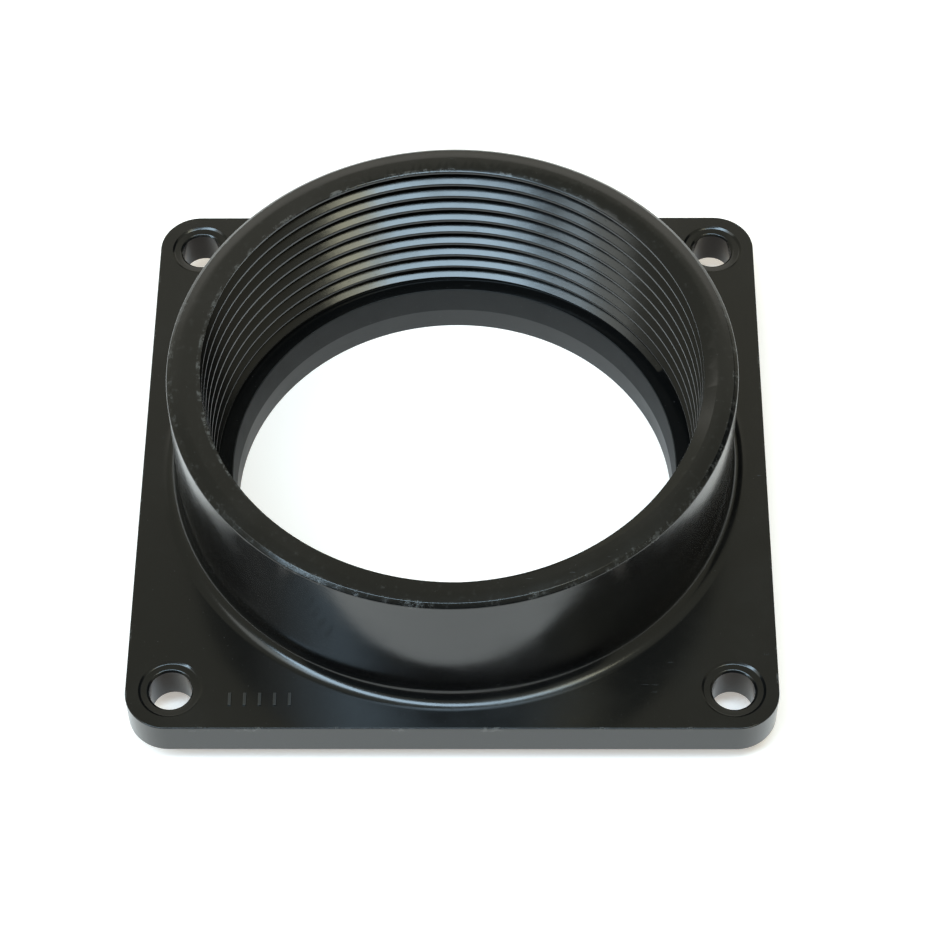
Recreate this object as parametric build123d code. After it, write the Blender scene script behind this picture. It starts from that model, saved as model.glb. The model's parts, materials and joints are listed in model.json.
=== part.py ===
from build123d import *
import math
import os

# A square floor flange for a toilet outlet pipe. All sizes are in mm. +Z runs up
# the hub, and the origin is the centre of the plate's underside, where it is fixed.

# How far a cutting shape runs past the face that it cuts, and how near counts as the same
CUT_PAST = 1.0
NEAR = 0.01

# Square plate
PLATE_SIDE = 109.2
PLATE_THICKNESS = 7.0
PLATE_CORNER_R = 7.2
PLATE_EDGE_ROUND = 0.2

# Screw holes, one near each corner, each in a shallow round seat
HOLE_SPACING = 94.0
HOLE_R = 3.6
HOLE_LEAD_IN = 0.35
SEAT_FLOOR_R = 5.0
SEAT_MOUTH_R = 5.4
SEAT_DEPTH = 0.3

# Hub that stands on the plate
HUB_HEIGHT = 34.7
HUB_BASE_R = 48.4
HUB_TOP_R = 48.15
RIM_FLAT_R = 45.9
RIM_DROP = 0.3
RIM_CHAMFER_WIDTH = 0.76
RIM_CHAMFER_DROP = 0.6
HUB_FILLET = 3.0

# Female taper pipe thread, nominal 3 inch, eight threads to the inch
THREAD_PITCH = 25.4 / 8
THREAD_TAPER = 1 / 32
PITCH_LINE_R = 43.3
CREST_R = PITCH_LINE_R - 0.9
ROOT_R = PITCH_LINE_R + 1.2
FLANK_SLOPE = math.tan(math.radians(30))
THREAD_FLOOR_Z = 5.25
THREAD_START_DEG = 150.4
THREAD_OVERRUN = 4.0
CREST_BITE = 0.35

# Plain bore below the thread's stop, and the spigot that drops into the floor
BORE_R = 38.6
BORE_STEP_Z = -0.3
BORE_DRAFT = 0.3
SPIGOT_R = 41.4
SPIGOT_LENGTH = 5.0
SPIGOT_CHAMFER = 0.6
SEAL_LAND_R = 40.8
SEAL_LAND_Z = -1.2

# Row of small raised bars near one corner of the plate
BAR_COUNT = 5
BAR_PITCH = 2.5
BAR_WIDTH = 0.55
BAR_LENGTH = 2.4
BAR_HEIGHT = 0.25
BAR_ROW_X = -32.0
BAR_ROW_Y = -49.0

# Rubber seal ring, held in a seat round the spigot
SEAL_SEAT_R = 51.2
SEAL_SEAT_DEPTH = 1.6
SEAL_CLEARANCE = 0.15
SEAL_FACE_Z = -0.5
SEAL_EDGE_ROUND = 0.3
SEAL_BEAD_R = 0.4
SEAL_BEAD_COUNT = 3
SEAL_BEAD_PITCH = 2.4


def turned(*outline):
    """Turn a closed outline, drawn as (radius, height), round the hub's axis."""
    face = Plane.XZ * make_face(Polyline(*outline, close=True))
    return revolve(face, axis=Axis.Z)


def taper_r(radius_at_rim, z):
    """Radius of the taper thread's crest, pitch line or root at height z."""
    return radius_at_rim - (HUB_HEIGHT - z) * THREAD_TAPER


def plate():
    """Square plate with round corners and slightly soft edges."""
    outline = RectangleRounded(PLATE_SIDE, PLATE_SIDE, PLATE_CORNER_R)
    slab = extrude(outline, PLATE_THICKNESS)
    rims = slab.faces().sort_by(Axis.Z)[0].edges() + slab.faces().sort_by(Axis.Z)[-1].edges()
    return fillet(rims, PLATE_EDGE_ROUND)


def hub_blank():
    """Solid hub: drafted wall, chamfered outer edge and a rim that falls a little towards it."""
    edge_r = HUB_TOP_R - RIM_CHAMFER_WIDTH
    edge_z = HUB_HEIGHT - RIM_DROP
    return turned(
        (0, 0),
        (HUB_BASE_R, 0),
        (HUB_TOP_R, edge_z - RIM_CHAMFER_DROP),
        (edge_r, edge_z),
        (RIM_FLAT_R, HUB_HEIGHT),
        (0, HUB_HEIGHT),
    )


def thread_core():
    """The tapered, threaded space inside the hub, from its stop up past the rim."""
    low = THREAD_FLOOR_Z - THREAD_OVERRUN
    high = HUB_HEIGHT + THREAD_OVERRUN
    cone_deg = math.degrees(math.atan(THREAD_TAPER))
    start_r = taper_r(PITCH_LINE_R, low)
    path = Helix(THREAD_PITCH, high - low, start_r, cone_angle=cone_deg)
    inner = CREST_R - PITCH_LINE_R - CREST_BITE
    outer = ROOT_R - PITCH_LINE_R
    half_inner = THREAD_PITCH / 4 - inner * FLANK_SLOPE
    half_outer = THREAD_PITCH / 4 - outer * FLANK_SLOPE
    tooth = Polyline(
        (start_r + inner, -half_inner),
        (start_r + outer, -half_outer),
        (start_r + outer, half_outer),
        (start_r + inner, half_inner),
        close=True,
    )
    groove = sweep(Plane.XZ * make_face(tooth), path=path, is_frenet=True)
    groove = Pos(0, 0, low) * Rot(0, 0, THREAD_START_DEG) * groove
    foot = low - THREAD_PITCH
    head = high + THREAD_PITCH
    cone = turned((0, foot), (taper_r(CREST_R, foot), foot), (taper_r(CREST_R, head), head), (0, head))
    above_stop = Cylinder(HUB_BASE_R, HUB_HEIGHT, align=(Align.CENTER, Align.CENTER, Align.MIN))
    return (cone + groove) & (Pos(0, 0, THREAD_FLOOR_Z) * above_stop)


def bore_core():
    """The plain way through below the thread, opening slightly upwards above the step."""
    return turned(
        (0, -SPIGOT_LENGTH - CUT_PAST),
        (BORE_R, -SPIGOT_LENGTH - CUT_PAST),
        (BORE_R, BORE_STEP_Z),
        (BORE_R + BORE_DRAFT, THREAD_FLOOR_Z),
        (BORE_R + BORE_DRAFT, THREAD_FLOOR_Z + THREAD_PITCH),
        (0, THREAD_FLOOR_Z + THREAD_PITCH),
    )


def screw_hole():
    """One screw hole with its lead-in and its shallow dished seat, at the origin."""
    floor_z = PLATE_THICKNESS - SEAT_DEPTH
    return turned(
        (0, -CUT_PAST),
        (HOLE_R, -CUT_PAST),
        (HOLE_R, floor_z - HOLE_LEAD_IN),
        (HOLE_R + HOLE_LEAD_IN, floor_z),
        (SEAT_FLOOR_R, floor_z),
        (SEAT_MOUTH_R, PLATE_THICKNESS),
        (SEAT_MOUTH_R, PLATE_THICKNESS + CUT_PAST),
        (0, PLATE_THICKNESS + CUT_PAST),
    )


def spigot():
    """Short tube below the plate that centres the flange in the opening in the floor."""
    return turned(
        (0, PLATE_THICKNESS / 2),
        (SEAL_LAND_R, PLATE_THICKNESS / 2),
        (SEAL_LAND_R, SEAL_LAND_Z),
        (SPIGOT_R, SEAL_LAND_Z),
        (SPIGOT_R, SPIGOT_CHAMFER - SPIGOT_LENGTH),
        (SPIGOT_R - SPIGOT_CHAMFER, -SPIGOT_LENGTH),
        (0, -SPIGOT_LENGTH),
    )


def seal_seat():
    """Ring-shaped recess in the underside that the seal sits in."""
    return turned(
        (BORE_R, -CUT_PAST),
        (SEAL_SEAT_R, -CUT_PAST),
        (SEAL_SEAT_R, SEAL_SEAT_DEPTH),
        (BORE_R, SEAL_SEAT_DEPTH),
    )


def tally_bars():
    """The row of small raised bars on the plate, sunk a little into it."""
    bar = Box(BAR_WIDTH, BAR_LENGTH, 2 * BAR_HEIGHT)
    row = Pos(BAR_ROW_X, BAR_ROW_Y, PLATE_THICKNESS)
    return [row * place * bar for place in GridLocations(BAR_PITCH, BAR_LENGTH, BAR_COUNT, 1)]


def flange_body():
    """The one-piece moulding: plate, hub, spigot, thread, bore and screw holes."""
    body = plate() + hub_blank()
    foot = (
        body.edges()
        .filter_by(GeomType.CIRCLE)
        .filter_by(lambda e: abs(e.center().Z - PLATE_THICKNESS) < NEAR and e.radius > BORE_R)
    )
    body = fillet(foot, HUB_FILLET)
    body = body - seal_seat() + spigot() + tally_bars()
    body = body - bore_core() - thread_core()
    holes = [place * screw_hole() for place in GridLocations(HOLE_SPACING, HOLE_SPACING, 2, 2)]
    return body - holes


def seal_ring():
    """Rubber ring with rounded lips and three raised beads on its lower face."""
    inner = SEAL_LAND_R + SEAL_CLEARANCE
    outer = SEAL_SEAT_R - SEAL_CLEARANCE
    ring = turned(
        (inner, SEAL_FACE_Z),
        (outer, SEAL_FACE_Z),
        (outer, SEAL_SEAT_DEPTH),
        (inner, SEAL_SEAT_DEPTH),
    )
    ring = fillet(ring.edges().filter_by(GeomType.CIRCLE), SEAL_EDGE_ROUND)
    middle = (inner + outer) / 2
    for k in range(SEAL_BEAD_COUNT):
        bead_r = middle + (k - (SEAL_BEAD_COUNT - 1) / 2) * SEAL_BEAD_PITCH
        ring = ring + Pos(0, 0, SEAL_FACE_Z) * Torus(bead_r, SEAL_BEAD_R)
    return ring


PIECES = {"flange_body": flange_body, "seal_ring": seal_ring}

os.makedirs("parts", exist_ok=True)
for node, make in PIECES.items():
    piece = make()
    box = piece.bounding_box()
    export_step(piece, f"parts/{node}.step")
    print(node, "valid", piece.is_valid, "solids", len(piece.solids()), "from", box.min, "to", box.max)
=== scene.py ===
import json
import math

import bpy
from mathutils import Matrix, Vector


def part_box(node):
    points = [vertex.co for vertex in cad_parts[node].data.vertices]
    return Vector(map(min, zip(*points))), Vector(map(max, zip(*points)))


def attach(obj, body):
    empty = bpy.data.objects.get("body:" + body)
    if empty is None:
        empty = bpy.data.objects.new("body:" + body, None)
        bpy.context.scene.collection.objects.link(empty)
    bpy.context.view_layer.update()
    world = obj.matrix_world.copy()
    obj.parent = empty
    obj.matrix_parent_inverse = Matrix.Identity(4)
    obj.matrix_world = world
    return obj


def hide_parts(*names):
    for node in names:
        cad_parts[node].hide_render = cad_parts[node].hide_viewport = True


bl_info = {
    "name": "Toilet Flange",
    "version": (1, 0, 0),
    "blender": (4, 5, 0),
    "location": "View3D > Sidebar > Flange",
    "description": "Square toilet floor flange with a threaded hub, a spigot and a seal ring",
    "category": "Object",
}

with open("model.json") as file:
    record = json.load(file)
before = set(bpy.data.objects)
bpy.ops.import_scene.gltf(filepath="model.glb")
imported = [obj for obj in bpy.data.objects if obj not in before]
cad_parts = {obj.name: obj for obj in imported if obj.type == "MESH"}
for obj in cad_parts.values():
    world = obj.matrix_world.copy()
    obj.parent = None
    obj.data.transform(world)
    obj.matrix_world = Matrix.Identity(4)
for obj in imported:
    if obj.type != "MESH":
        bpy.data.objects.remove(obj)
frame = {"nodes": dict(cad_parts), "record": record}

MM = 0.001
WELD = 0.002 * MM
FINAL_WELD = 0.003 * MM
NEAR = 0.01 * MM
ROUND_STEPS = 240
THREAD_STEPS = 180
HOLE_STEPS = 64
CORNER_STEPS = 19
BODY_LOW, BODY_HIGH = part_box("flange_body")
SEAL_LOW, SEAL_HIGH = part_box("seal_ring")
MOUNTS = {m["name"]: m["dims"] for m in frame["record"]["mounts"]}


def length(label, note, default):
    """A length that a user can change, in metres."""
    return bpy.props.FloatProperty(
        name=label, description=note, default=default, min=0.0, precision=5, unit="LENGTH"
    )


def colour(label, note, default):
    """A colour that a user can change."""
    return bpy.props.FloatVectorProperty(
        name=label, description=note, default=default, size=3, min=0.0, max=1.0, subtype="COLOR"
    )


def amount(label, note, default):
    """A plain factor that a user can change."""
    return bpy.props.FloatProperty(name=label, description=note, default=default, min=0.0)


def angle(label, note, degrees):
    """An angle that a user can change."""
    return bpy.props.FloatProperty(
        name=label, description=note, default=math.radians(degrees), subtype="ANGLE"
    )


class FlangeSizes(bpy.types.PropertyGroup):
    """Sizes of the moulding."""

    plate_side: length("Plate side", "Width of the square plate", BODY_HIGH.x - BODY_LOW.x)
    plate_thickness: length("Plate thickness", "Underside to top of the plate", 7.0 * MM)
    plate_corner: length("Plate corner", "Radius of the plate's corners", 7.2 * MM)
    plate_edge: length("Plate edge", "Softening of the plate's edges", 0.2 * MM)
    hub_height: length("Hub height", "Underside of the plate to the rim", BODY_HIGH.z)
    hub_base: length("Hub base radius", "Wall radius at the plate", 48.4 * MM)
    hub_top: length("Hub top radius", "Wall radius at the rim", 48.15 * MM)
    rim_flat: length("Rim flat radius", "Outer radius of the flat part of the rim", 45.9 * MM)
    rim_flat_round: length("Rim flat round", "Rounding where the flat ends", 0.6 * MM)
    rim_drop: length("Rim drop", "Fall of the rim outside its flat part", 0.3 * MM)
    rim_chamfer: length("Rim chamfer width", "Chamfer on the rim's outer edge, across", 0.76 * MM)
    rim_chamfer_drop: length("Rim chamfer height", "Chamfer on the rim's outer edge, down", 0.60 * MM)
    rim_chamfer_round: length("Rim chamfer round", "Rounding below the chamfer", 0.18 * MM)
    rim_edge_round: length("Rim edge round", "Rounding above the chamfer", 0.06 * MM)
    hub_fillet: length("Hub fillet", "Radius where the hub meets the plate", 3.0 * MM)
    bore: length("Bore radius", "Plain bore below the thread", MOUNTS["outlet_bore"]["r_mm"] * MM)
    bore_draft: length("Bore draft", "How far the bore opens towards the thread", 0.3 * MM)
    bore_step: length("Bore step", "Where the draft starts, below the plate", 0.3 * MM)
    bore_edge: length("Bore edge width", "Softening of the bore's upper edge, across", 0.20 * MM)
    bore_edge_drop: length("Bore edge height", "Softening of the bore's upper edge, down", 0.16 * MM)
    spigot: length("Spigot radius", "Outside of the spigot", MOUNTS["floor_spigot"]["r_mm"] * MM)
    spigot_depth: length("Spigot depth", "Spigot below the plate", -BODY_LOW.z)
    spigot_step: length("Spigot shoulder", "Shoulder of the spigot, below the plate", 1.2 * MM)
    spigot_round: length("Spigot round", "Rounding at the spigot's foot", 0.5 * MM)
    seal_land: length("Seal land radius", "Land that the seal grips", 40.8 * MM)
    seal_seat: length("Seal seat radius", "Outside of the seal's recess", 51.2 * MM)
    seal_depth: length("Seal seat depth", "Depth of the seal's recess", SEAL_HIGH.z)
    seal_seat_round: length("Seal seat round", "Rounding at the recess's mouth", 0.2 * MM)


class ThreadSizes(bpy.types.PropertyGroup):
    """Sizes of the female taper pipe thread."""

    pitch: length("Pitch", "Rise of one turn", 25.4 / 8 * MM)
    crest: length("Crest radius", "Crest radius at the rim", MOUNTS["pipe_thread"]["r_mm"] * MM)
    depth: length("Tooth depth", "Crest to root, across the radius", 2.1 * MM)
    flank: angle("Flank angle", "Lean of each side of a tooth", 30)
    crest_flat: length("Crest flat", "Width of the flat on the crest", 0.55 * MM)
    crest_round: length("Crest round", "Rounding of the crest's edges", 0.08 * MM)
    reach: length("Thread length", "Rim to the stop", MOUNTS["pipe_thread"]["length_mm"] * MM)
    taper: amount("Taper", "Change of radius over length", 1 / 32)
    groove_at: length("Groove height", "Height of one groove where it crosses the X axis", 3.098 * MM)


class ScrewHoleSizes(bpy.types.PropertyGroup):
    """Sizes of the screw holes and their seats."""

    spacing: length("Hole spacing", "Centre to centre", MOUNTS["screw_holes"]["spacing_x_mm"] * MM)
    hole: length("Hole radius", "Radius of a hole", MOUNTS["screw_holes"]["hole_r_mm"] * MM)
    lead_in: length("Lead-in", "Chamfer at the top of a hole", 0.35 * MM)
    seat_floor: length("Seat floor radius", "Flat part of the seat", 5.0 * MM)
    seat_mouth: length("Seat mouth radius", "Rim of the seat", 5.4 * MM)
    seat_depth: length("Seat depth", "How far the seat is sunk", 0.3 * MM)
    soft: length("Seat round", "Rounding of the seat's edges", 0.10 * MM)


class BarSizes(bpy.types.PropertyGroup):
    """Sizes of the row of small raised bars."""

    count: bpy.props.IntProperty(name="Bars", description="How many bars", default=5, min=1)
    pitch: length("Bar pitch", "From bar to bar", 2.5 * MM)
    width: length("Bar width", "Across one bar", 0.55 * MM)
    reach: length("Bar length", "Along one bar", 2.4 * MM)
    rise: length("Bar height", "How far a bar stands up", 0.25 * MM)
    soft: length("Bar round", "Rounding of a bar's edges", 0.08 * MM)
    row_x: length("Row distance X", "Hub's axis to the row's middle, to the left", 32.0 * MM)
    row_y: length("Row distance Y", "Hub's axis to the row, to the front", 49.0 * MM)


class FlangeFinish(bpy.types.PropertyGroup):
    """Colours and gloss."""

    plastic: colour("Plastic", "Moulded plastic", (0.0038, 0.0038, 0.0038))
    # Colour of scuffed, dusty plastic, also used for the painted highlight on the raised bars' tops
    scuff_and_glint: colour("Scuff", "Scuffed and dusty plastic", (0.16, 0.155, 0.145))
    rubber: colour("Rubber", "Seal ring", (0.022, 0.021, 0.02))
    rubber_bloom: colour("Rubber bloom", "Paler film on the seal", (0.06, 0.058, 0.055))
    cloth: colour("Black cloth", "Cards that shade the part", (0.012, 0.012, 0.012))
    cloth_weave: colour("Cloth weave", "Paler threads of the cloth", (0.02, 0.02, 0.02))
    gloss: amount("Roughness", "Roughness of clean plastic", 0.13)


class StageSettings(bpy.types.PropertyGroup):
    """Floor, lights and camera."""

    floor: colour("Floor", "Pale floor", (0.94, 0.88, 0.84))
    floor_shade: colour("Floor shade", "Duller parts of the floor", (0.85, 0.80, 0.77))
    floor_glow: colour("Floor glow", "Light from the floor itself", (1.0, 0.95, 0.90))
    floor_glow_power: amount("Floor glow strength", "How much the floor glows", 0.38)
    floor_side: length("Floor side", "Width of the floor", 2.4)
    air: colour("Air", "Light from all around", (1.0, 0.98, 0.76))
    air_power: amount("Air strength", "How much light comes from all around", 0.43)
    view_right: length("View target right", "Camera's target, right of the hub's axis", 3.559 * MM)
    view_back: length("View target back", "Camera's target, behind the hub's axis", 1.25 * MM)
    view_azimuth: angle("View azimuth", "Camera round the hub", 0.952)
    view_elevation: angle("View elevation", "Camera above the floor", 55.318)
    view_roll: angle("View roll", "Turn of the picture", -0.804)
    view_distance: length("View distance", "Camera to its target", 538.6 * MM)
    focal: bpy.props.FloatProperty(name="Focal length", description="Lens", default=114.86, unit="CAMERA")


# ---- modelling helpers ----


def deselect():
    """Leave nothing selected, in object mode."""
    if bpy.context.mode != "OBJECT":
        bpy.ops.object.mode_set(mode="OBJECT")
    bpy.ops.object.select_all(action="DESELECT")


def edit(piece):
    """Open one piece in edit mode with nothing selected."""
    deselect()
    piece.select_set(True)
    bpy.context.view_layer.objects.active = piece
    bpy.ops.object.mode_set(mode="EDIT")
    bpy.ops.mesh.select_all(action="DESELECT")


def select_where(piece, domain, test):
    """Select the vertices, edges or faces whose middle passes the test, in edit mode."""
    bpy.ops.mesh.select_mode(type=domain)
    bpy.ops.mesh.select_all(action="DESELECT")
    bpy.ops.object.mode_set(mode="OBJECT")
    mesh = piece.data
    parts = {"VERT": mesh.vertices, "EDGE": mesh.edges, "FACE": mesh.polygons}[domain]
    for part in parts:
        if domain == "VERT":
            middle = part.co
        elif domain == "EDGE":
            middle = (mesh.vertices[part.vertices[0]].co + mesh.vertices[part.vertices[1]].co) / 2
        else:
            middle = part.center
        part.select = bool(test(middle, part))
    bpy.ops.object.mode_set(mode="EDIT")


def draw_outline(name, points):
    """Start at the first (radius, height) and extrude a vertex along the rest."""
    deselect()
    start = Vector((points[0][0], 0, points[0][1]))
    bpy.ops.mesh.primitive_plane_add(size=0.001, location=start)
    piece = bpy.context.object
    piece.name = name
    bpy.ops.object.mode_set(mode="EDIT")
    bpy.ops.mesh.select_mode(type="VERT")
    bpy.ops.mesh.select_all(action="SELECT")
    bpy.ops.mesh.merge(type="CENTER")
    for (r0, z0), (r1, z1) in zip(points, points[1:]):
        step = {"value": (r1 - r0, 0, z1 - z0)}
        bpy.ops.mesh.extrude_region_move(TRANSFORM_OT_translate=step)
    bpy.ops.object.mode_set(mode="OBJECT")
    bpy.ops.object.transform_apply(location=True, rotation=True, scale=True)
    return piece


def round_corner(piece, r, z, offset, segments):
    """Round the outline's corner at this radius and height."""
    spot = Vector((r, 0, z))
    edit(piece)
    select_where(piece, "VERT", lambda co, part: (co - spot).length < NEAR)
    bpy.ops.mesh.bevel(offset=offset, offset_type="OFFSET", segments=segments, affect="VERTICES")
    bpy.ops.object.mode_set(mode="OBJECT")


def spin_round(piece, steps):
    """Turn the outline round the hub's axis and weld it into one closed skin."""
    edit(piece)
    bpy.ops.mesh.select_all(action="SELECT")
    bpy.ops.mesh.spin(steps=steps, angle=math.tau, center=(0, 0, 0), axis=(0, 0, 1))
    bpy.ops.mesh.select_all(action="SELECT")
    bpy.ops.mesh.remove_doubles(threshold=WELD)
    bpy.ops.mesh.normals_make_consistent(inside=False)
    bpy.ops.object.mode_set(mode="OBJECT")


def apply_modifier(piece, kind, **settings):
    """Add one modifier, set it up and apply it."""
    deselect()
    piece.select_set(True)
    bpy.context.view_layer.objects.active = piece
    modifier = piece.modifiers.new(kind.title(), kind)
    for key, value in settings.items():
        setattr(modifier, key, value)
    bpy.ops.object.modifier_apply(modifier=modifier.name)


def combine(piece, tool, operation):
    """Join, cut or keep the overlap with a tool shape, then throw the tool away."""
    apply_modifier(piece, "BOOLEAN", operation=operation, solver="EXACT", object=tool)
    mesh = tool.data
    bpy.data.objects.remove(tool)
    bpy.data.meshes.remove(mesh)


def tidy_shading(piece, degrees):
    """Weld, close and shade a finished piece, keeping its flats flat."""
    edit(piece)
    bpy.ops.mesh.select_all(action="SELECT")
    bpy.ops.mesh.remove_doubles(threshold=FINAL_WELD)
    bpy.ops.mesh.dissolve_degenerate(threshold=WELD)
    bpy.ops.mesh.normals_make_consistent(inside=False)
    bpy.ops.object.mode_set(mode="OBJECT")
    bpy.ops.object.shade_smooth_by_angle(angle=math.radians(degrees), keep_sharp_edges=True)
    apply_modifier(piece, "WEIGHTED_NORMAL", weight=60, keep_sharp=True)


# ---- the moulding ----


def moulding_blank(s):
    """Hub, plate disc, seal recess and spigot as one turned solid."""
    disc = s.plate_side
    top = s.plate_thickness
    edge_r = s.hub_top - s.rim_chamfer
    edge_z = s.hub_height - s.rim_drop
    chamfer_z = edge_z - s.rim_chamfer_drop
    piece = draw_outline(
        "flange_body_skin",
        [
            (0, s.hub_height),
            (s.rim_flat, s.hub_height),
            (edge_r, edge_z),
            (s.hub_top, chamfer_z),
            (s.hub_base, top),
            (disc, top),
            (disc, 0),
            (s.seal_seat, 0),
            (s.seal_seat, s.seal_depth),
            (s.seal_land, s.seal_depth),
            (s.seal_land, -s.spigot_step),
            (s.spigot, -s.spigot_step),
            (s.spigot, -s.spigot_depth),
            (0, -s.spigot_depth),
        ],
    )
    round_corner(piece, s.hub_base, top, s.hub_fillet, 12)
    round_corner(piece, s.hub_top, chamfer_z, s.rim_chamfer_round, 3)
    round_corner(piece, edge_r, edge_z, s.rim_edge_round, 2)
    round_corner(piece, s.rim_flat, s.hub_height, s.rim_flat_round, 3)
    round_corner(piece, s.spigot, -s.spigot_depth, s.spigot_round, 3)
    round_corner(piece, s.seal_seat, 0, s.seal_seat_round, 2)
    spin_round(piece, ROUND_STEPS)
    return piece


def square_outline(s):
    """Tall square prism with round corners, which trims the disc to the plate."""
    deselect()
    bpy.ops.mesh.primitive_cube_add(size=1)
    prism = bpy.context.object
    bpy.ops.transform.resize(value=(s.plate_side, s.plate_side, 4 * s.hub_height))
    bpy.ops.object.transform_apply(location=True, rotation=True, scale=True)
    edit(prism)
    near = s.plate_side / 2 - s.plate_edge
    select_where(prism, "EDGE", lambda co, part: abs(co.x) > near and abs(co.y) > near)
    bpy.ops.mesh.bevel(offset=s.plate_corner, segments=CORNER_STEPS, affect="EDGES")
    bpy.ops.object.mode_set(mode="OBJECT")
    return prism


def bore_tool(s, t):
    """The plain bore, from below the spigot into the thread."""
    stop = s.hub_height - t.reach
    top_r = s.bore + s.bore_draft
    tool = draw_outline(
        "bore_tool",
        [
            (0, -2 * s.spigot_depth),
            (s.bore, -2 * s.spigot_depth),
            (s.bore, -s.bore_step),
            (top_r, stop - s.bore_edge_drop),
            (top_r + s.bore_edge / 4, stop - s.bore_edge_drop / 2),
            (top_r + s.bore_edge, stop),
            (top_r + s.bore_edge, stop + t.pitch),
            (0, stop + t.pitch),
        ],
    )
    spin_round(tool, ROUND_STEPS)
    return tool


def thread_tool(s, t):
    """The threaded space: one pitch of tooth outline, screwed up the hub and capped flat."""
    stop = s.hub_height - t.reach
    foot_crest = t.crest - s.hub_height * t.taper
    root = foot_crest + t.depth
    half_crest = (t.pitch - t.crest_flat) / 2
    half_root = half_crest - t.depth * math.tan(t.flank)
    low = t.groove_at - 2 * t.pitch
    tool = draw_outline(
        "thread_tool",
        [
            (foot_crest, low - t.pitch / 2),
            (foot_crest, low - half_crest),
            (root, low - half_root),
            (root, low + half_root),
            (foot_crest, low + half_crest),
            (foot_crest, low + t.pitch / 2),
        ],
    )
    round_corner(tool, foot_crest, low - half_crest, t.crest_round, 2)
    round_corner(tool, foot_crest, low + half_crest, t.crest_round, 2)
    turns = math.ceil((s.hub_height - low) / t.pitch) + 2
    apply_modifier(
        tool,
        "SCREW",
        axis="Z",
        angle=math.tau,
        screw_offset=t.pitch,
        iterations=turns,
        steps=THREAD_STEPS,
        render_steps=THREAD_STEPS,
        use_merge_vertices=False,
    )
    edit(tool)
    bpy.ops.mesh.select_all(action="SELECT")
    bpy.ops.mesh.remove_doubles(threshold=WELD)
    for height, keep_above in ((stop, True), (s.hub_height + t.pitch, False)):
        bpy.ops.mesh.select_all(action="SELECT")
        bpy.ops.mesh.bisect(
            plane_co=(0, 0, height),
            plane_no=(0, 0, 1),
            use_fill=True,
            threshold=0.0001 * MM,
            clear_inner=keep_above,
            clear_outer=not keep_above,
        )
    bpy.ops.mesh.select_all(action="SELECT")
    bpy.ops.mesh.normals_make_consistent(inside=False)
    bpy.ops.object.mode_set(mode="OBJECT")
    height = s.hub_height + t.pitch - stop
    narrowing = t.taper / foot_crest * height
    apply_modifier(tool, "SIMPLE_DEFORM", deform_method="TAPER", deform_axis="Z", factor=narrowing)
    return tool


def screw_hole_tool(s, h, x, y):
    """One screw hole with its chamfer and soft dished seat."""
    top = s.plate_thickness
    floor = top - h.seat_depth
    outer = h.seat_mouth + h.soft
    tool = draw_outline(
        "screw_hole_tool",
        [
            (0, -MM),
            (h.hole, -MM),
            (h.hole, floor - h.lead_in),
            (h.hole + h.lead_in, floor),
            (h.seat_floor, floor),
            (h.seat_mouth, top),
            (outer, top + 0.4 * h.soft),
            (outer, top + MM),
            (0, top + MM),
        ],
    )
    round_corner(tool, h.hole + h.lead_in, floor, h.soft, 2)
    round_corner(tool, h.seat_floor, floor, h.soft, 3)
    spin_round(tool, HOLE_STEPS)
    bpy.ops.transform.translate(value=(x, y, 0))
    bpy.ops.object.transform_apply(location=True, rotation=False, scale=False)
    return tool


def soften_plate_edges(piece, s):
    """Round the plate's sharp outline above and below."""
    half = s.plate_side / 2
    inner = half - s.plate_corner

    def on_outline(co, part):
        past = Vector((max(abs(co.x) - inner, 0), max(abs(co.y) - inner, 0)))
        level = min(abs(co.z), abs(co.z - s.plate_thickness))
        return level < NEAR and past.length > s.plate_corner - 6 * NEAR

    edit(piece)
    select_where(piece, "EDGE", on_outline)
    bpy.ops.mesh.bevel(offset=s.plate_edge, segments=3, affect="EDGES")
    bpy.ops.object.mode_set(mode="OBJECT")


def tally_bars(s, b):
    """A row of small raised bars in one front corner of the plate."""
    deselect()
    bpy.ops.mesh.primitive_cube_add(size=MM)
    bars = bpy.context.object
    bpy.ops.object.mode_set(mode="EDIT")
    bpy.ops.mesh.select_all(action="SELECT")
    bpy.ops.mesh.delete(type="VERT")
    for k in range(b.count):
        along = -b.row_x + (k - (b.count - 1) / 2) * b.pitch
        bpy.ops.mesh.primitive_cube_add(size=1, location=(along, -b.row_y, s.plate_thickness))
        bpy.ops.transform.resize(value=(b.width, b.reach, 2 * b.rise))
        bpy.ops.mesh.select_all(action="DESELECT")
    bpy.ops.mesh.select_mode(type="EDGE")
    bpy.ops.mesh.select_all(action="SELECT")
    bpy.ops.mesh.bevel(offset=b.soft, segments=2, affect="EDGES")
    bpy.ops.object.mode_set(mode="OBJECT")
    return bars


class FLANGE_OT_body(bpy.types.Operator):
    """Make the one-piece plastic moulding"""

    bl_idname = "flange.body"
    bl_label = "Flange body"

    def execute(self, context):
        scene = context.scene
        s, t, h = scene.flange_sizes, scene.flange_thread, scene.flange_holes
        piece = moulding_blank(s)
        combine(piece, square_outline(s), "INTERSECT")
        soften_plate_edges(piece, s)
        combine(piece, bore_tool(s, t), "DIFFERENCE")
        combine(piece, thread_tool(s, t), "DIFFERENCE")
        offset = h.spacing / 2
        for x in (-offset, offset):
            for y in (-offset, offset):
                combine(piece, screw_hole_tool(s, h, x, y), "DIFFERENCE")
        combine(piece, tally_bars(s, scene.flange_bars), "UNION")
        tidy_shading(piece, 32)
        piece.data.materials.clear()
        piece.data.materials.append(black_plastic(scene.flange_finish, s))
        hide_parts("flange_body")
        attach(piece, "root")
        return {"FINISHED"}


class FLANGE_OT_seal(bpy.types.Operator):
    """Finish the rubber seal ring"""

    bl_idname = "flange.seal"
    bl_label = "Seal ring"

    def execute(self, context):
        ring = frame["nodes"]["seal_ring"]
        ring.data.materials.clear()
        ring.data.materials.append(seal_rubber(context.scene.flange_finish))
        return {"FINISHED"}


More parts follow.
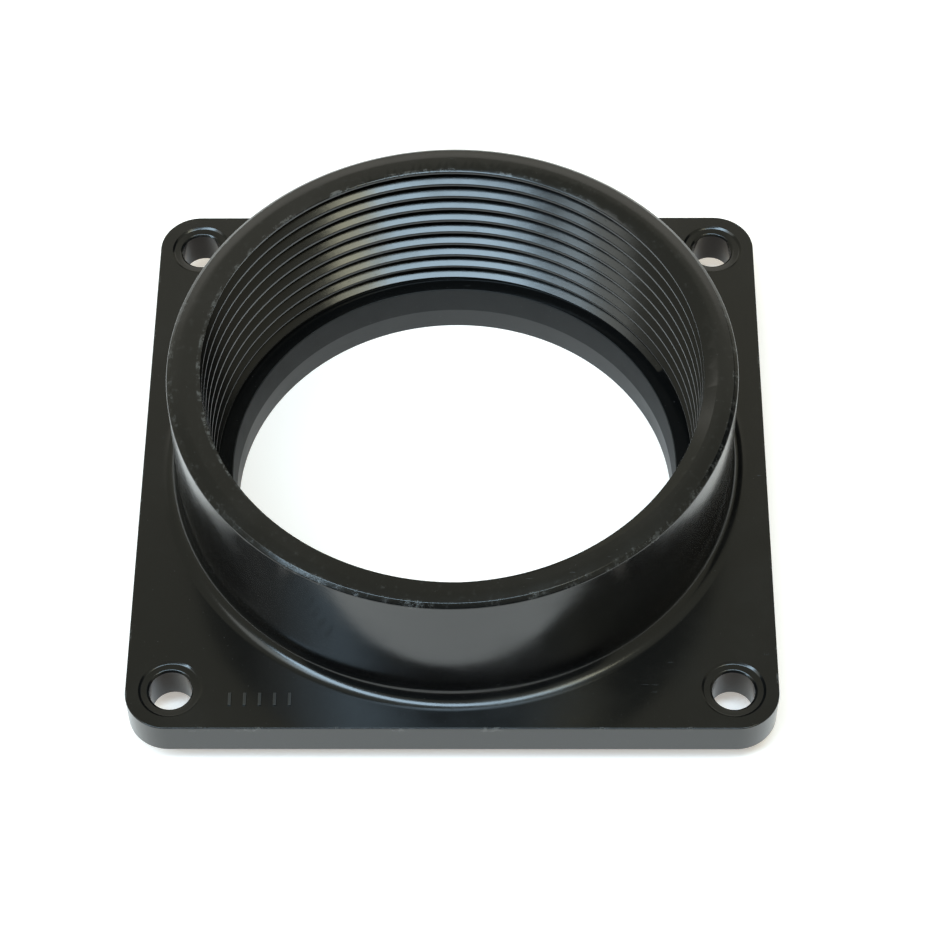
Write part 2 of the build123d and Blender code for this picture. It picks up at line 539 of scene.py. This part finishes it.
# ---- materials ----


class Wire:
    """A shader socket that can be used in Python sums."""

    def __init__(self, finish, socket):
        self.finish = finish
        self.socket = socket

    def sum(self, operation, first, second):
        return self.finish.node("ShaderNodeMath", {"operation": operation}, {0: first, 1: second})

    def __add__(self, other):
        return self.sum("ADD", self, other)

    def __radd__(self, other):
        return self.sum("ADD", other, self)

    def __sub__(self, other):
        return self.sum("SUBTRACT", self, other)

    def __rsub__(self, other):
        return self.sum("SUBTRACT", other, self)

    def __mul__(self, other):
        return self.sum("MULTIPLY", self, other)

    def __rmul__(self, other):
        return self.sum("MULTIPLY", other, self)

    def __pow__(self, other):
        return self.sum("POWER", self, other)

    def __abs__(self):
        return self.sum("ABSOLUTE", self, 0.0)


class Finish:
    """One material, and the nodes that make it."""

    def __init__(self, name):
        self.material = bpy.data.materials.new(name)
        self.material.use_nodes = True
        self.tree = self.material.node_tree
        self.tree.nodes.clear()
        self.place = self.node("ShaderNodeTexCoord", {}, {}, output="Object")

    def node(self, kind, settings, sockets, output=0):
        """Add a node, set it up, and give back one of its outputs."""
        made = self.tree.nodes.new(kind)
        for key, value in settings.items():
            setattr(made, key, value)
        for key, value in sockets.items():
            if isinstance(value, Wire):
                self.tree.links.new(value.socket, made.inputs[key])
            else:
                made.inputs[key].default_value = value
        return Wire(self, made.outputs[output])

    def axes(self):
        """X, Y and Z in millimetres."""
        scaled = {"Vector": self.place, "Scale": (1000.0, 1000.0, 1000.0)}
        in_mm = self.node("ShaderNodeMapping", {}, scaled)
        return [self.node("ShaderNodeSeparateXYZ", {}, {0: in_mm}, output=k) for k in "XYZ"]

    def bigger(self, first, second):
        return self.node("ShaderNodeMath", {"operation": "MAXIMUM"}, {0: first, 1: second})

    def noise(self, scale, detail=4.0, roughness=0.5, place=None):
        """Cloudy noise, by default in metres."""
        sockets = {"Vector": place or self.place, "Scale": scale, "Detail": detail, "Roughness": roughness}
        return self.node("ShaderNodeTexNoise", {}, sockets)

    def stretch(self, scale, turn):
        """The piece's own coordinates, stretched and turned."""
        return self.node(
            "ShaderNodeMapping", {}, {"Vector": self.place, "Rotation": (0.0, 0.0, turn), "Scale": scale}
        )

    def ramp(self, value, low, high, to_low=0.0, to_high=1.0):
        """Ease a value from one range to another."""
        sockets = {0: value, 1: low, 2: high, 3: to_low, 4: to_high}
        return self.node("ShaderNodeMapRange", {"interpolation_type": "SMOOTHSTEP"}, sockets)

    def band(self, value, low, high, soft):
        """1 between low and high, fading to 0 outside."""
        return self.ramp(value, low - soft, low) * self.ramp(value, high, high + soft, 1.0, 0.0)

    def scratches(self, turn, along, across, rarity):
        """Thin straight marks in one direction."""
        lines = self.noise(1.0, 2.0, 0.5, self.stretch((along, across, across), turn))
        broken = self.ramp(self.noise(35.0, 2.0, 0.5), 0.45, 0.62)
        return self.ramp(lines, rarity, rarity + 0.03) * broken

    def mix(self, factor, first, second):
        """Blend two colours."""
        sockets = {0: factor, 6: first, 7: second}
        return self.node("ShaderNodeMix", {"data_type": "RGBA"}, sockets, output=2)

    def bump(self, height, strength, distance, normal=None):
        """Raise the surface by a height map."""
        sockets = {"Height": height, "Strength": strength, "Distance": distance}
        if normal:
            sockets["Normal"] = normal
        return self.node("ShaderNodeBump", {}, sockets)

    def surface(self, **sockets):
        """Finish the material with one shader."""
        named = {key.replace("_", " "): value for key, value in sockets.items()}
        shader = self.node("ShaderNodeBsdfPrincipled", {}, named)
        end = self.tree.nodes.new("ShaderNodeOutputMaterial")
        self.tree.links.new(shader.socket, end.inputs["Surface"])
        return self.material


def solid(colour_value):
    """A colour with full alpha."""
    return (*colour_value, 1.0)


def black_plastic(look, s):
    """Glossy black moulded plastic with handling marks, and a painted highlight on the tops of the raised
    bars.
    """
    f = Finish("black_plastic")
    x, y, z = f.axes()
    radius = (x * x + y * y) ** 0.5
    reach = f.bigger(abs(x), abs(y))
    top, rim, plate = s.hub_height / MM, s.hub_top / MM, s.plate_thickness / MM
    side, bore, step = s.plate_side / 2 / MM, s.bore / MM, s.bore_step / MM
    mouth = MOUNTS["pipe_thread"]["r_mm"] - 0.1

    rim_edge = f.band(radius, rim - 0.85, rim + 0.25, 0.35) * f.ramp(z, top - 1.7, top - 1.1)
    rim_mouth = f.band(radius, mouth, mouth + 0.6, 0.3) * f.ramp(z, top - 0.5, top - 0.2)
    rim_top = f.band(radius, mouth, rim - 0.55, 0.2) * f.ramp(z, top - 0.8, top - 0.4)
    plate_edge = f.ramp(reach, side - 0.5, side - 0.15) * f.band(z, plate - 0.7, plate + 0.2, 0.3)
    bar_tops = f.ramp(z, plate + 0.08, plate + 0.2) * f.ramp(radius, rim + 2.85, rim + 3.85)
    in_bore = f.ramp(radius, bore + 0.5, bore + 0.7, 1.0, 0.0)
    upper_bore = f.band(z, -step, 5.2, 0.05) * in_bore
    lower_bore = f.band(z, -5.2, -step - 0.05, 0.05) * in_bore

    cloud = f.noise(55.0, 5.0, 0.6)
    patch = f.noise(260.0, 4.0, 0.65)
    fine = f.noise(1500.0, 3.0, 0.6)
    specks = f.ramp(f.noise(2400.0, 1.0, 0.4), 0.76, 0.80)
    marks = f.bigger(
        f.scratches(0.6, 150.0, 3400.0, 0.76),
        f.bigger(f.scratches(-1.1, 130.0, 3000.0, 0.765), f.scratches(1.9, 170.0, 3800.0, 0.765)),
    )
    nicks = f.noise(700.0, 5.0, 0.75)
    worn_rim = rim_edge * f.ramp(patch, 0.40, 0.66) * f.ramp(nicks, 0.46, 0.66) * 0.8
    worn_mouth = rim_mouth * f.ramp(patch, 0.40, 0.66) * f.ramp(nicks, 0.42, 0.6)
    worn_plate = plate_edge * f.ramp(patch, 0.55, 0.72)
    # Painted highlight: the tops of the raised bars are made lighter to stand in for glints
    painted_bar_glint = bar_tops * 0.3
    rubbed = rim_top * f.ramp(f.noise(800.0, 5.0, 0.75), 0.55, 0.80) * 0.25
    worn_edges = f.bigger(f.bigger(worn_rim, worn_mouth), worn_plate)
    # Real wear on the rim and plate edges, plus the painted highlight on the bar tops; it lightens, roughens
    # and dents them
    wear_and_bar_glint = f.bigger(worn_edges, f.bigger(painted_bar_glint, rubbed))

    dusty = f.ramp(cloud, 0.5, 0.8) * 0.008
    lighter = f.bigger(wear_and_bar_glint * 0.45, f.bigger(marks * 0.03, f.bigger(specks * 0.12, dusty)))
    # Plastic mixed towards the scuff colour by wear, marks, specks, dust and the painted highlight on the
    # bar tops
    tone = f.mix(lighter, solid(look.plastic), solid(look.scuff_and_glint))
    rough = (
        look.gloss
        + 0.10 * f.ramp(cloud, 0.42, 0.75)
        + 0.05 * patch
        + 0.25 * wear_and_bar_glint
        + 0.06 * marks
        + 0.60 * upper_bore
        + 0.28 * lower_bore
    )
    flow = f.bump(f.noise(170.0, 2.0, 0.4), 0.30, 0.00006)
    skin = f.bump(fine, 0.10, 0.00004, flow)
    dents = f.bump(wear_and_bar_glint * patch + marks * 0.6, 0.5, 0.00008, skin)
    return f.surface(Base_Color=tone, Roughness=rough, IOR=1.5, Normal=dents)


def seal_rubber(look):
    """Dull moulded rubber."""
    f = Finish("seal_rubber")
    grain = f.noise(1500.0, 4.0, 0.6)
    bloom = f.ramp(f.noise(90.0, 4.0, 0.6), 0.4, 0.8)
    tone = f.mix(bloom * 0.5, solid(look.rubber), solid(look.rubber_bloom))
    normal = f.bump(grain, 0.25, 0.0002)
    return f.surface(Base_Color=tone, Roughness=0.62 + 0.15 * grain, IOR=1.52, Normal=normal)


def floor_paper(look):
    """Plain pale paper, faintly lit from behind."""
    f = Finish("floor_paper")
    tone = f.mix(f.noise(300.0, 3.0, 0.5) * 0.06, solid(look.floor), solid(look.floor_shade))
    return f.surface(
        Base_Color=tone,
        Roughness=0.9,
        Emission_Color=solid(look.floor_glow),
        Emission_Strength=look.floor_glow_power,
    )


def dark_cloth(look):
    """Matt black cloth of the cards that shade the part."""
    f = Finish("dark_cloth")
    weave = f.noise(900.0, 2.0, 0.5)
    tone = f.mix(weave, solid(look.cloth), solid(look.cloth_weave))
    return f.surface(Base_Color=tone, Roughness=0.95, Specular_IOR_Level=0.0)


# ---- stage ----


# Name, place, aim, turn in degrees, size and power of each soft light, and its colour
SOFT_LIGHTS = (
    ("soft_window", (-0.42, -0.45, 1.0), (-0.42, -0.45, 0.0), 17, (1.50, 0.27), 17.5, (0.60, 0.82, 1.0)),
    ("soft_window_end", (0.36, -0.27, 1.0), (0.36, -0.27, 0.0), 0, (0.26, 0.30), 1.7, (1.0, 0.98, 0.72)),
    ("soft_window_top", (-0.56, -0.26, 1.0), (-0.56, -0.26, 0.0), 20, (0.36, 0.19), 1.15, (0.70, 0.88, 1.0)),
    ("soft_side", (-0.80, -0.18, 1.0), (-0.80, -0.18, 0.0), 0, (0.70, 0.40), 1.6, (0.95, 1.0, 0.97)),
    ("soft_back_card", (0.0, 1.50, 1.05), (0.0, 0.0, 0.0), 0, (2.6, 0.60), 4.6, (1.0, 0.97, 0.90)),
    ("soft_back_veil", (0.0, 1.15, 1.37), (0.0, 0.0, 0.0), 0, (2.4, 0.40), 0.6, (1.0, 0.97, 0.85)),
)


# Name, place, aim and size of each black card
DARK_CARDS = (
    ("dark_card_front", (0.0, -0.95, 0.50), (0.0, 0.0, 0.50), (2.2, 0.92)),
    ("dark_card_right", (0.75, 0.40, 0.42), (0.0, 0.0, 0.0), (0.75, 0.50)),
)


def dark_card(cloth, name, place, aim, size):
    """One black card that shades the part from one side, turned to face a point."""
    deselect()
    bpy.ops.mesh.primitive_plane_add(size=1, location=place)
    card = bpy.context.object
    card.name = name
    bpy.ops.transform.resize(value=(*size, 1.0))
    bpy.ops.object.transform_apply(location=False, rotation=False, scale=True)
    card.rotation_euler = (Vector(aim) - Vector(place)).to_track_quat("-Z", "Y").to_euler()
    card.data.materials.append(cloth)
    card.visible_camera = False


def soft_light(name, place, aim, turn, size, power, tint):
    """One rectangular soft light turned to face a point."""
    deselect()
    facing = (Vector(aim) - Vector(place)).to_track_quat("-Z", "Y")
    spun = Matrix.Rotation(math.radians(turn), 4, "Z").to_quaternion() @ facing
    bpy.ops.object.light_add(type="AREA", location=place, rotation=spun.to_euler())
    lamp = bpy.context.object
    lamp.name = name
    lamp.data.shape = "RECTANGLE"
    lamp.data.size, lamp.data.size_y = size
    lamp.data.energy = power
    lamp.data.color = tint


class FLANGE_OT_stage(bpy.types.Operator):
    """Make the floor, the lights and the camera"""

    bl_idname = "flange.stage"
    bl_label = "Stage"

    def execute(self, context):
        look = context.scene.flange_stage
        deselect()
        bpy.ops.mesh.primitive_plane_add(size=look.floor_side, location=(0, 0, BODY_LOW.z))
        floor = bpy.context.object
        floor.name = "floor"
        floor.data.materials.append(floor_paper(look))

        cloth = dark_cloth(context.scene.flange_finish)
        for setting in DARK_CARDS:
            dark_card(cloth, *setting)

        world = bpy.data.worlds.new("studio_air")
        world.use_nodes = True
        back = world.node_tree.nodes["Background"]
        back.inputs["Color"].default_value = solid(look.air)
        back.inputs["Strength"].default_value = look.air_power
        context.scene.world = world

        for setting in SOFT_LIGHTS:
            soft_light(*setting)

        azimuth, elevation = look.view_azimuth, look.view_elevation
        away = Vector(
            (
                math.sin(azimuth) * math.cos(elevation),
                -math.cos(azimuth) * math.cos(elevation),
                math.sin(elevation),
            )
        )
        target = Vector((look.view_right, look.view_back, 0))
        bpy.ops.object.camera_add(location=target + away * look.view_distance)
        camera = bpy.context.object
        camera.rotation_mode = "QUATERNION"
        level = away.to_track_quat("Z", "Y")
        camera.rotation_quaternion = level @ Matrix.Rotation(look.view_roll, 4, "Z").to_quaternion()
        camera.data.lens = look.focal
        context.scene.camera = camera
        context.scene.view_settings.view_transform = "Standard"
        return {"FINISHED"}


class FLANGE_PT_panel(bpy.types.Panel):
    """Lists the flange's parts"""

    bl_idname = "FLANGE_PT_panel"
    bl_label = "Toilet flange"
    bl_space_type = "VIEW_3D"
    bl_region_type = "UI"
    bl_category = "Flange"

    def draw(self, context):
        for operator in OPERATORS:
            self.layout.operator(operator.bl_idname)
        for owner in SETTINGS:
            group = getattr(context.scene, owner)
            for key in group.__annotations__:
                self.layout.prop(group, key)


SETTINGS = {
    "flange_sizes": FlangeSizes,
    "flange_thread": ThreadSizes,
    "flange_holes": ScrewHoleSizes,
    "flange_bars": BarSizes,
    "flange_finish": FlangeFinish,
    "flange_stage": StageSettings,
}
OPERATORS = (FLANGE_OT_stage, FLANGE_OT_body, FLANGE_OT_seal)


def register():
    for owner, group in SETTINGS.items():
        bpy.utils.register_class(group)
        setattr(bpy.types.Scene, owner, bpy.props.PointerProperty(type=group))
    for cls in (*OPERATORS, FLANGE_PT_panel):
        bpy.utils.register_class(cls)


def unregister():
    for cls in (FLANGE_PT_panel, *reversed(OPERATORS)):
        bpy.utils.unregister_class(cls)
    for owner, group in SETTINGS.items():
        delattr(bpy.types.Scene, owner)
        bpy.utils.unregister_class(group)


def main():
    register()
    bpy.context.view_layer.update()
    bpy.ops.flange.stage()
    bpy.ops.flange.body()
    bpy.ops.flange.seal()


if __name__ == "__main__":
    main()
